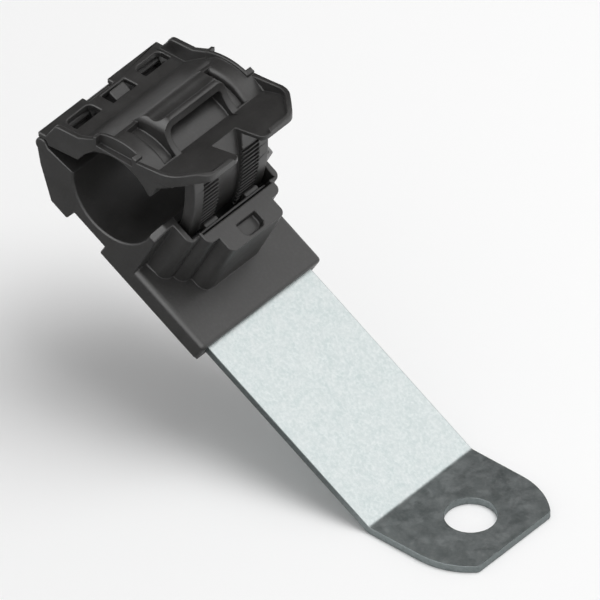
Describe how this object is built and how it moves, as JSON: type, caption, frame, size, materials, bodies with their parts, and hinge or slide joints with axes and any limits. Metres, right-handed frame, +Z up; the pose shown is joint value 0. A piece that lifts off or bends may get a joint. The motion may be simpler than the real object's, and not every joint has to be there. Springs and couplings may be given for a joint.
{
  "type": "ratchet p clamp",
  "caption": "Bent zinc-plated steel strip with a bolt hole in its rounded foot, carrying a black moulded cable clamp with a hinged ratchet lid.",
  "frame": {"origin": "centre of the bolt hole on the foot's underside", "axes": "+X to the foot's free end, +Y along the bundle's axis, +Z up from the surface the foot is bolted to"},
  "size_m": [0.0862, 0.0288, 0.0555],
  "materials": {
    "zinc_steel": "zinc plated, mottled satin",
    "black_plastic": "fine matt moulded texture"
  },
  "bodies": {
    "base": {"bracket": "zinc_steel", "clamp_base": "black_plastic"},
    "lid": {"clamp_lid": "black_plastic"}
  },
  "joints": [
    {"name": "lid_hinge", "type": "hinge", "parent": "base", "child": "lid", "pos_m": [-0.07544, 0, 0.0452], "axis": [0, -1, 0], "range_deg": [-14, 90]}
  ]
}
